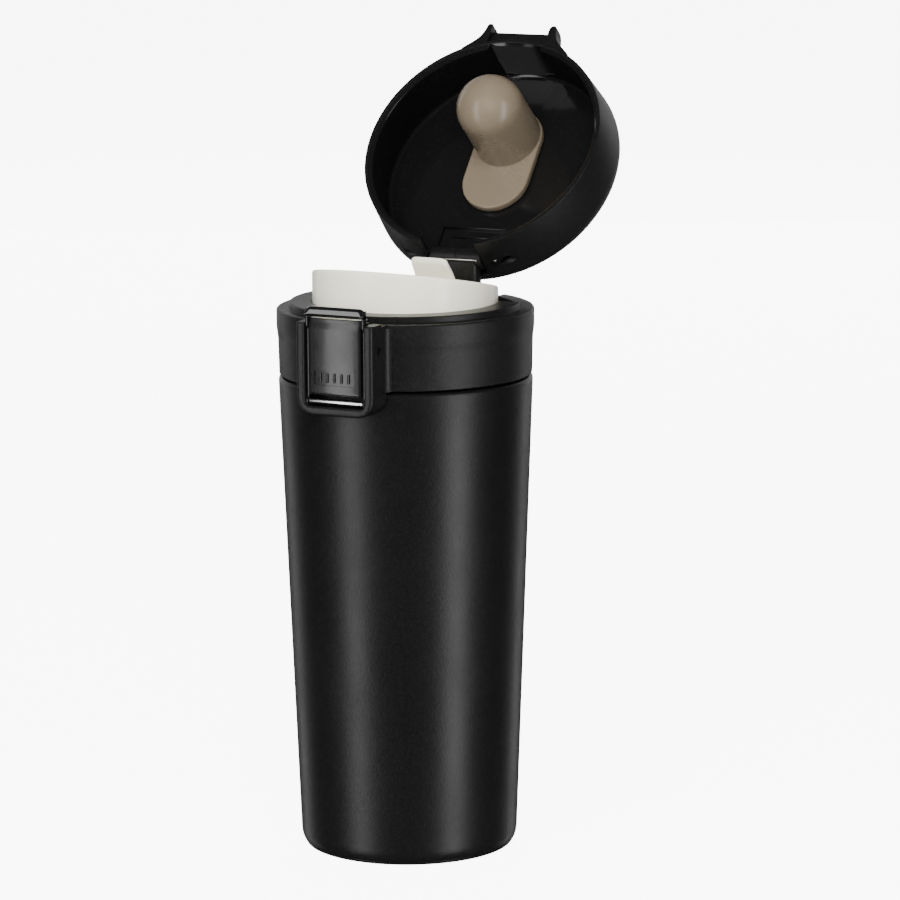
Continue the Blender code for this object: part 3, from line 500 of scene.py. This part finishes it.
# ---------------------------------------------------------------- hinge bracket
# Part of the collar moulding: an upright web at the back with a bored barrel along its top,
# which the hinge pin runs through. The barrel shows the faint ring where its mould parts.
hinge_y, hinge_z = 33.9, 164.9
knuckle_half, knuckle_radius, knuckle_bore = 8.2, 3.0, 1.05


def bar(outline, low_x, high_x):
    """Extrude an outline of (y, z) points along X."""
    return extruded([(low_x, y, z) for y, z in outline], (high_x - low_x, 0, 0))


bracket_edit = slab(rounded([(-6.6, 30.8, 1.8), (6.6, 30.8, 1.8), (6.9, 34.6), (-6.9, 34.6)]), 154.0, 164.2)
soften(bracket_edit, 0.35, over_deg=60)
add_piece("hinge_bracket", bracket_edit, satin_black, "lid")
barrel_corners = [(knuckle_bore, -knuckle_half, 0.1), (knuckle_radius, -knuckle_half, 0.4),
                  (knuckle_radius, -0.35, 0.1), (knuckle_radius - 0.12, 0), (knuckle_radius, 0.35, 0.1),
                  (knuckle_radius, knuckle_half, 0.4), (knuckle_bore, knuckle_half, 0.1)]
barrel = spun(rounded(barrel_corners, steps=3), steps=64)
bmesh.ops.transform(barrel, matrix=lying(hinge_y, hinge_z), verts=barrel.verts)
add_piece("hinge_barrel", barrel, satin_black, "lid")

# ---------------------------------------------------------------- spout
# Glossy ivory drinking bowl, higher at the front, pressed into the lid. Its floor has the drinking
# hole with a sloping seat for the stopper, a small vent and an upright pull tab at the back.
ivory = moulded("ivory", (0.88, 0.85, 0.71), (0.86, 0.83, 0.69), (0.14, 0.2), 1800, 0.006, coat=0.25,
                soft_light=0.25)
spout_radius, spout_inner, spout_mid = 26.3, 24.7, 163.25
rim_front_z, rim_back_z = 168.7, 157.8
rim_slope = (rim_front_z - rim_back_z) / (2 * spout_radius)
floor_top, floor_under, floor_edge = 151.2, 149.4, 22.2
skirt_radius, groove_radius = 24.8, 23.9
wall_corners = [(floor_edge, floor_top), (23.4, floor_top, 0.8), (23.4, 153.3, 0.5),
                (spout_inner, 154.9, 0.8), (spout_inner, spout_mid, 0.8), (spout_radius, spout_mid, 0.8),
                (spout_radius, 153.5, 0.3), (skirt_radius, 153.5, 0.2), (skirt_radius, 152.4, 0.1),
                (groove_radius, 152.4, 0.1), (groove_radius, 150.8, 0.1), (skirt_radius, 150.8, 0.1),
                (skirt_radius, floor_under, 0.5), (floor_edge, floor_under)]
around = 160
spout_edit = spun(rounded(wall_corners, closed=False), steps=around, closed=False)
hole_y = -11.0


def ring_edges(edit, radius, height, centre_y=0.0):
    """A circle of loose edges with as many points as the bowl."""
    made = bmesh.ops.create_circle(edit, segments=around, radius=radius, cap_ends=False,
                                   matrix=Matrix.Translation((0, centre_y, height)))
    return list({edge for vert in made["verts"] for edge in vert.link_edges})


def open_ring(edit, height):
    """The boundary loop that lies at a height."""
    return [edge for edge in edit.edges
            if edge.is_boundary and all(abs(v.co.z - height) < 0.01 for v in edge.verts)]


upper_floor, lower_floor = open_ring(spout_edit, floor_top), open_ring(spout_edit, floor_under)
lip_out = ring_edges(spout_edit, 11.4, floor_top, hole_y)
bmesh.ops.bridge_loops(spout_edit, edges=upper_floor + lip_out)
rings = [lip_out]
for radius, height in ((11.0, floor_top + 0.45), (10.4, floor_top + 0.5), (10.0, floor_top + 0.15),
                       (9.0, floor_under + 0.2), (9.2, floor_under)):
    rings.append(ring_edges(spout_edit, radius, height, hole_y))
    bmesh.ops.bridge_loops(spout_edit, edges=rings[-2] + rings[-1])
bmesh.ops.bridge_loops(spout_edit, edges=rings[-1] + lower_floor)
slant_from = 156.0
for vert in spout_edit.verts:
    if vert.co.z > slant_from:
        vert.co.z -= rim_slope * vert.co.y * (vert.co.z - slant_from) / (spout_mid - slant_from)
add_piece("drinking_spout", spout_edit, ivory, "lid", ["spout"])

tab_tip_z, tab_half, tab_flare = 167.3, 5.6, 0.1
tab_path = rounded([(19.85, 150.8), (19.65, 160.8, 3.6), (14.4, tab_tip_z)], steps=10, closed=False)


def along(path, share):
    """The point at a share of a path's length."""
    spans = [(Vector(b) - Vector(a)).length for a, b in zip(path, path[1:])]
    left = share * sum(spans)
    for a, b, span in zip(path, path[1:], spans):
        if left <= span or b == path[-1]:
            return Vector(a).lerp(Vector(b), left / span)
        left -= span


tab_edit = bmesh.new()
bmesh.ops.create_grid(tab_edit, x_segments=16, y_segments=36, size=0.5)
for vert in tab_edit.verts:
    across, up = vert.co.x * 2, vert.co.y + 0.5
    place_y, place_z = along(tab_path, up * (1 - 0.05 * abs(across) ** 8))
    vert.co = Vector((across * (tab_half + tab_flare * (tab_tip_z - place_z)), place_y, place_z))
bmesh.ops.solidify(tab_edit, geom=tab_edit.faces[:], thickness=1.5)
soften(tab_edit, 0.45, over_deg=60)
add_piece("pull_tab", tab_edit, ivory, "lid", sharp_deg=60)

# ---------------------------------------------------------------- cross pins
# Bright steel pins with chamfered ends, pressed through the collar moulding: hinge, push pad and
# lock bail. The end of the hinge's torsion spring lies in front of the barrel.
bright_steel = moulded("bright_steel", (0.72, 0.72, 0.71), (0.6, 0.6, 0.6), (0.14, 0.24), 900, 0.004,
                       metallic=1.0)


def cross_pin(name, node, y, z, half, radius):
    """A turned pin along X."""
    corners = [(0, -half), (radius, -half, 0.3), (radius, half, 0.3), (0, half)]
    edit = spun(rounded(corners, steps=3, closed=False), steps=32, closed=False)
    bmesh.ops.transform(edit, matrix=lying(y, z), verts=edit.verts)
    add_piece(name, edit, bright_steel, "lid", [node])


cross_pin("cap_hinge_pin", "hinge_pin", hinge_y, hinge_z, 12.4, 1.0)
leg_y, leg_z, leg_start, leg_end, wire_radius = 30.75, 164.75, -3.0, 7.4, 0.38
leg_corners = [(0, leg_start), (wire_radius, leg_start, 0.2), (wire_radius, leg_end, 0.2), (0, leg_end)]
spring_leg = spun(rounded(leg_corners, steps=3, closed=False), steps=20, closed=False)
bmesh.ops.transform(spring_leg, matrix=lying(leg_y, leg_z), verts=spring_leg.verts)
add_piece("spring_leg", spring_leg, bright_steel, "lid")
cross_pin("pad_pin", "button_pin", pad_pin_y, pad_pin_z, 10.7, 0.8)
bail_pin_y, bail_pin_z = -41.4, 134.1
cross_pin("bail_pin", "lock_pin", bail_pin_y, bail_pin_z, 10.5, 0.8)

# ---------------------------------------------------------------- push pad
# Polished black pad that rocks on its pin. Its face bows out between the sides, leans back in a lip
# along the top, and has a shallow panel of grip ribs where the thumb presses.
gloss_black = moulded("gloss_black", (0.004, 0.004, 0.0042), (0.005, 0.005, 0.005), (0.06, 0.12), 1200,
                      0.002, smudge_scale=90, coat=0.8)
thumb_black = moulded("thumb_black", (0.005, 0.005, 0.0052), (0.006, 0.006, 0.006), (0.2, 0.27), 1200,
                      0.002, smudge_scale=90, coat=0.25)
pad_half, pad_bottom, pad_top, pad_bulge = 8.1, 136.0, 157.35, 0.45
pad_face, pad_inside, boss_y = -42.6, -41.1, -37.7
pad_profile = rounded([(pad_face, pad_bottom, 0.9), (pad_face, 154.3, 0.5), (-41.9, 156.5, 0.5),
                       (-41.9, pad_top, 0.3), (boss_y, pad_top, 0.5), (boss_y, 155.9, 0.3),
                       (-41.0, 155.4, 0.6), (pad_inside, 150.7, 0.5), (boss_y, 150.2, 0.5),
                       (boss_y, 147.2, 0.5), (pad_inside, 146.7, 0.5), (pad_inside, pad_bottom, 0.4)],
                      steps=4)
pad_edit = bar(pad_profile, -pad_half, pad_half)
soften(pad_edit, 0.45, over_deg=60)
cut_lines(pad_edit, (0, 0, 137.2), (0, 0, 1))
cut_lines(pad_edit, (0, 0, 153.7), (0, 0, 1))


def bow(edit, from_y):
    """Bow the front out between its sides, after adding loops that follow the curve."""
    for k in range(-6, 7):
        cut_lines(edit, (k * 1.2, 0, 0), (1, 0, 0))
    for vert in edit.verts:
        if vert.co.y < from_y:
            vert.co.y -= pad_bulge * (1 - (vert.co.x / pad_half) ** 2)


bow(pad_edit, -41.5)
push_pad = add_piece("push_pad", pad_edit, thumb_black, "button", ["push_button"])
panel_half, panel_bottom, panel_top = 6.2, 138.8, 143.1
panel = plate(rounded([(-panel_half, panel_bottom, 0.7), (panel_half, panel_bottom, 0.7),
                       (panel_half, panel_top, 0.7), (-panel_half, panel_top, 0.7)]), -44, -42.28)
bow(panel, -42)
carve(push_pad, panel)
rib_step, rib_half, rib_bottom, rib_top = 2.2, 0.35, 139.6, 142.3
for k in range(5):
    rib_x = (k - 2) * rib_step
    face_y = pad_face - pad_bulge * (1 - (rib_x / pad_half) ** 2)
    rib = plate(rounded([(rib_x - rib_half, rib_bottom, 0.35), (rib_x + rib_half, rib_bottom, 0.35),
                         (rib_x + rib_half, rib_top, 0.35), (rib_x - rib_half, rib_top, 0.35)]),
                face_y, face_y + 0.4)
    soften(rib, 0.1, segments=2, over_deg=60)
    add_piece("grip_rib_%d" % (k + 1), rib, thumb_black, "button")

# ---------------------------------------------------------------- lock bail
# Polished black U: two thin legs with round eyes on the lower pin, ribbed cheeks to grip, and a
# round-cornered bar that closes over the pad's lip.
bail_out, bail_in, bail_under, bail_top = 9.1, 8.35, 157.75, 160.6
eye_radius = 1.25
eye = [(bail_pin_y + eye_radius * math.cos(a), bail_pin_z + eye_radius * math.sin(a))
       for a in (math.radians(170 + 20 * k) for k in range(12))]
leg_outline = rounded([(-41.75, 135.4, 0.3), *eye, (-41.15, 135.6, 0.3), (-41.15, 154.3, 0.3),
                       (-39.7, 155.2, 0.3), (-39.7, 157.2, 0.3), (-40.6, 157.9, 0.3),
                       (-40.6, 160.0, 0.5), (-42.45, 160.0, 0.5), (-42.45, 155.0, 0.4),
                       (-41.75, 154.2, 0.3)], steps=3)


def block(low, high):
    """A box between two opposite corners."""
    edit = bmesh.new()
    middle, span = (Vector(low) + Vector(high)) / 2, Vector(high) - Vector(low)
    bmesh.ops.create_cube(edit, size=1, matrix=Matrix.Translation(middle)
                          @ Matrix.Diagonal((abs(span.x), span.y, span.z, 1)))
    return edit


for side, name in sides:
    leg = bar(leg_outline, side * bail_in, side * bail_out)
    soften(leg, 0.1, segments=2, over_deg=60)
    add_piece("bail_leg_" + name, leg, thumb_black, "lock")
    for k in range(3):
        rib_back = -40.8 if k == 2 else -40.0
        rib = block((side * 9.0, -42.3, 155.3 + k), (side * 9.28, rib_back, 155.8 + k))
        soften(rib, 0.08, segments=2, over_deg=60)
        add_piece("bail_rib_%s_%d" % (name, k + 1), rib, gloss_black, "lock")
bar_edit = bar(rounded([(-42.5, bail_under, 0.3), (-43.35, 158.6, 0.4), (-43.1, 160.1, 0.5),
                        (-42.4, bail_top, 0.5), (-41.1, bail_top, 0.4), (-41.1, bail_under, 0.4)]),
               -bail_out, bail_out)
turn_from, turn_radius = 7.2, 1.9
for reach in (0, 0.5, 0.9, 1.2, 1.45, 1.65, 1.8):
    for side in (-1, 1):
        cut_lines(bar_edit, (side * (turn_from + reach), 0, 0), (1, 0, 0))
for vert in bar_edit.verts:
    reach = min(turn_radius, max(0.0, abs(vert.co.x) - turn_from))
    drop = turn_radius - math.sqrt(turn_radius ** 2 - reach ** 2)
    vert.co.z -= drop * (vert.co.z - bail_under) / (bail_top - bail_under)
soften(bar_edit, 0.3, over_deg=60)
add_piece("bail_bar", bar_edit, gloss_black, "lock", ["lock_bail"])

# ---------------------------------------------------------------- cap shell
# Satin black outer cap: flared wall, soft crown, a notch round the hinge bracket and, at the front,
# a ledge between two horns that cradle the lock bail. Modelled closed, then swung open on its pin.
cap_rim_z, cap_rim_radius, cap_top, cap_wall = 155.6, 36.35, 174.7, 1.1
notch_half, notch_top, access_radius = 8.7, 169.5, 1.6
hinge_joint = [joint for joint in frame["joints"] if joint["name"] == "cap_hinge"][0]
closed_angle = min(hinge_joint["range_deg"])
swing = Matrix.Rotation(math.radians(closed_angle), 4, Vector((1, 0, 0)))
cap_open = Matrix.Translation((0, hinge_y, hinge_z)) @ swing @ Matrix.Translation((0, -hinge_y, -hinge_z))


def add_cap_piece(name, edit, material, stands_for=(), sharp_deg=40):
    """Swing a piece of the closed cap open and add it."""
    bmesh.ops.transform(edit, matrix=cap_open, verts=edit.verts)
    return add_piece(name, edit, material, "cap", stands_for, sharp_deg)


def notched_skin(outline, steps, windows):
    """Turned skin, open at the rim, with windows (half width, bottom, top) cut out of its back."""
    edit = spun(outline, steps=steps, closed=False)
    for half, low, high in windows:
        for x in (-half, half):
            cut_lines(edit, (x, 0, 0), (1, 0, 0))
        for z in (low, high):
            cut_lines(edit, (0, 0, z), (0, 0, 1))
        gone = [face for face in edit.faces if abs(face.calc_center_median().x) < half
                and low < face.calc_center_median().z < high and face.calc_center_median().y > 20]
        bmesh.ops.delete(edit, geom=gone, context='FACES')
    bmesh.ops.recalc_face_normals(edit, faces=edit.faces)
    crown = max(edit.faces, key=lambda face: face.calc_center_median().z)
    if crown.normal.z < 0:
        bmesh.ops.reverse_faces(edit, faces=edit.faces)
    return edit


cap_corners = [(0, cap_top), (20, cap_top, 4), (37.9, cap_top - 0.25, 5.6), (cap_rim_radius, cap_rim_z)]
cap_edit = notched_skin(rounded(cap_corners, steps=10, closed=False), 192, [(notch_half, 150.0, notch_top)])
bmesh.ops.solidify(cap_edit, geom=cap_edit.faces[:], thickness=cap_wall)
soften(cap_edit, 0.3, segments=3, over_deg=60)
cap_piece = add_cap_piece("cap_outer", cap_edit, satin_black, ["cap_shell"])
for side in (-1, 1):
    access = spun([(0, 9.5), (access_radius, 9.5), (access_radius, 20), (0, 20)], steps=40, closed=False)
    bmesh.ops.transform(access, matrix=cap_open @ lying(hinge_y, hinge_z, side), verts=access.verts)
    carve(cap_piece, access)

cheek_bore, cheek_radius, cheek_start, cheek_end = 1.15, 2.9, 8.7, 12.7
cheek_corners = [(cheek_bore, cheek_start, 0.2), (cheek_radius, cheek_start, 0.3),
                 (cheek_radius, cheek_end, 0.2), (cheek_bore, cheek_end, 0.2)]
wall_inside, wall_outside = 35.0, 36.6
for side, name in sides:
    cheek = spun(rounded(cheek_corners), steps=48)
    bmesh.ops.transform(cheek, matrix=lying(hinge_y, hinge_z, side), verts=cheek.verts)
    for vert in cheek.verts:
        reach = math.hypot(vert.co.x, vert.co.y)
        if reach > wall_outside:
            vert.co.y = math.sqrt(wall_outside ** 2 - vert.co.x ** 2)
        if reach < wall_inside:
            vert.co.y = math.sqrt(wall_inside ** 2 - vert.co.x ** 2)
    add_cap_piece("pin_cheek_" + name, cheek, satin_black)

ledge_front, ledge_back, ledge_under, ledge_top, ledge_half = -40.2, -35.0, 158.0, 167.5, 10.2
ledge = bar(rounded([(ledge_back, ledge_under), (ledge_front, ledge_under, 0.5), (ledge_front, 160.6, 1.0),
                     (-36.2, ledge_top, 2.5), (ledge_back, ledge_top)], steps=5), -ledge_half, ledge_half)
for line_x in range(-8, 9, 2):
    cut_lines(ledge, (line_x, 0, 0), (1, 0, 0))
for vert in ledge.verts:
    if vert.co.y > -35.1:
        vert.co.y = -math.sqrt(36.2 ** 2 - vert.co.x ** 2)
soften(ledge, 0.35, over_deg=60)
add_cap_piece("catch_ledge", ledge, satin_black)
ear_levels = [(156.2, 0.9), (156.45, 0.97), (156.8, 1.0), (158.4, 1.0), (160.2, 1.0), (161.2, 0.97),
              (162.2, 0.9), (163.2, 0.77), (164.4, 0.55), (165.6, 0.3), (166.8, 0.1), (167.8, 0.0)]
ear_root, wall_flare = 35.8, 0.082
for side, name in sides:
    plan = rounded([(9.4, -35.0), (9.4, -40.1, 0.8), (9.55, -42.2, 0.8), (10.95, -42.4, 0.8),
                    (12.1, -37.4, 4.2), (17.0, -33.1), (16.8, -32.4)], steps=6)
    ear = bmesh.new()
    rings = []
    for level, reach in ear_levels:
        wall = ear_root + wall_flare * (level - cap_rim_z)
        ring = []
        for x, y in plan:
            tip = Vector((side * x, y))
            root = tip.normalized() * min(wall, tip.length)
            spot = root.lerp(tip, reach)
            ring.append(ear.verts.new((spot.x, spot.y, level)))
        rings.append(ring)
    for low_ring, high_ring in zip(rings, rings[1:]):
        for k in range(len(low_ring)):
            ear.faces.new([low_ring[k - 1], low_ring[k], high_ring[k], high_ring[k - 1]])
    ear.faces.new(rings[0])
    ear.faces.new(rings[-1])
    add_cap_piece("cap_horn_" + name, ear, satin_black, sharp_deg=60)

# ---------------------------------------------------------------- cap liner
# Polished black tub pressed into the cap, with its rim flanged out to the cap's wall, a flat channel
# behind the catch and a low moulded frame by the hinge.
tub_black = moulded("tub_black", (0.004, 0.004, 0.0042), (0.005, 0.005, 0.005), (0.1, 0.16), 1200, 0.002,
                    smudge_scale=90)
liner_rim, liner_low, liner_high, ceiling = 156.0, 34.1, 35.3, 172.5
liner_corners = [(0, ceiling), (liner_high, ceiling, 1.6), (liner_low, liner_rim + 0.6, 0.6),
                 (35.25, liner_rim - 0.1)]
liner_edit = notched_skin(rounded(liner_corners, steps=6, closed=False), 192,
                          [(9.2, 150.0, 169.5), (13.0, 162.4, 169.5)])
for line_x in (-8.6, -8.3, 8.3, 8.6):
    cut_lines(liner_edit, (line_x, 0, 0), (1, 0, 0))
channel_half, channel_y, channel_top = 8.4, -34.2, 171.2
for vert in liner_edit.verts:
    in_channel = abs(vert.co.x) < channel_half and vert.co.y < -28 and vert.co.z < channel_top
    if in_channel and math.hypot(vert.co.x, vert.co.y) < 35.2:
        vert.co.y = channel_y
bmesh.ops.solidify(liner_edit, geom=liner_edit.faces[:], thickness=-0.7)
soften(liner_edit, 0.15, segments=2, over_deg=60)
add_cap_piece("cap_tub", liner_edit, tub_black, ["cap_liner"])
frame_bars = [((-12.8, 19.0, 171.5), (12.8, 19.8, 172.6)), ((-12.8, 19.8, 171.5), (-12.0, 31.0, 172.6)),
              ((12.0, 19.8, 171.5), (12.8, 31.0, 172.6)), ((-8.4, 22.3, 171.9), (8.4, 22.9, 172.6))]
for k, (low, high) in enumerate(frame_bars):
    strip = block(low, high)
    soften(strip, 0.2, over_deg=60)
    add_cap_piece("tub_frame_%d" % (k + 1), strip, tub_black)

# ---------------------------------------------------------------- stopper
# Taupe silicone in one moulding: a round-nosed plug for the drinking hole on a long flat pad.
# It is pulled over a plastic core on the cap's ceiling.
taupe = moulded("taupe_silicone", (0.144, 0.115, 0.08), (0.14, 0.111, 0.077), (0.27, 0.32), 1500, 0.006,
                coat=0.15, soft_light=0.1)
plug_radius, nose_z, pad_z, pad_radius, pad_rear = 10.0, 154.7, 170.0, 10.4, 3.0
nose = [(plug_radius * math.sin(a), nose_z - plug_radius * math.cos(a))
        for a in (math.radians(5 * k) for k in range(19))]
flank = rounded([(plug_radius, nose_z + 1), (plug_radius, pad_z - 0.1, 0.5),
                 (plug_radius + 0.3, pad_z + 0.3)], closed=False)
plug_outline = nose + flank + [(7.6, pad_z + 0.3), (7.6, 153.6), (0, 153.5)]
plug_edit = spun(plug_outline, steps=96, closed=False)
bmesh.ops.translate(plug_edit, vec=(0, hole_y, 0), verts=plug_edit.verts)
add_cap_piece("stopper_plug", plug_edit, taupe, ["stopper"], sharp_deg=50)
pad_ring = [(pad_radius * math.cos(a), mid + pad_radius * math.sin(a))
            for mid, first in ((pad_rear, 0), (hole_y, 180))
            for a in (math.radians(first + 180 * k / 32) for k in range(33))]
stopper_pad = slab(pad_ring, pad_z, ceiling - 0.05)
soften(stopper_pad, 0.6, segments=4, over_deg=60)
add_cap_piece("stopper_pad", stopper_pad, taupe, sharp_deg=50)

# ---------------------------------------------------------------- hidden pieces
# Liner, vacuum parts, gaskets, cores and springs keep their own shapes inside the flask and lid.
# Each one gets its own finish.
liner_polish = moulded("liner_polish", (0.66, 0.65, 0.63), (0.6, 0.6, 0.58), (0.12, 0.24), 1500, 0.006,
                       metallic=1.0)
dish_steel = moulded("dish_steel", (0.55, 0.54, 0.53), (0.45, 0.45, 0.44), (0.3, 0.42), 1200, 0.02,
                     metallic=1.0)
getter_grey = moulded("getter_grey", (0.22, 0.21, 0.2), (0.3, 0.29, 0.28), (0.6, 0.75), 3000, 0.08,
                      metallic=0.6)
solder = moulded("solder", (0.5, 0.5, 0.48), (0.42, 0.42, 0.4), (0.3, 0.5), 900, 0.05, metallic=1.0)
seal_silicone = moulded("seal_silicone", (0.62, 0.62, 0.6), (0.6, 0.6, 0.57), (0.38, 0.5), 1500, 0.01,
                        soft_light=0.2)
core_black = moulded("core_black", (0.02, 0.02, 0.02), (0.03, 0.03, 0.03), (0.42, 0.55), 2500, 0.03)
spring_steel = moulded("spring_steel", (0.5, 0.5, 0.5), (0.4, 0.4, 0.4), (0.2, 0.34), 1200, 0.01,
                       metallic=1.0)
kept = {"inner_liner": liner_polish, "vacuum_base": dish_steel, "getter_pellet": getter_grey,
        "vacuum_seal_bead": solder, "mouth_gasket": seal_silicone, "spout_gasket": seal_silicone,
        "lid_body": core_black, "stopper_core": core_black, "hinge_spring": spring_steel,
        "button_spring": spring_steel}
for node, material in kept.items():
    mesh = frame["nodes"][node].data
    mesh.materials.clear()
    mesh.materials.append(material)
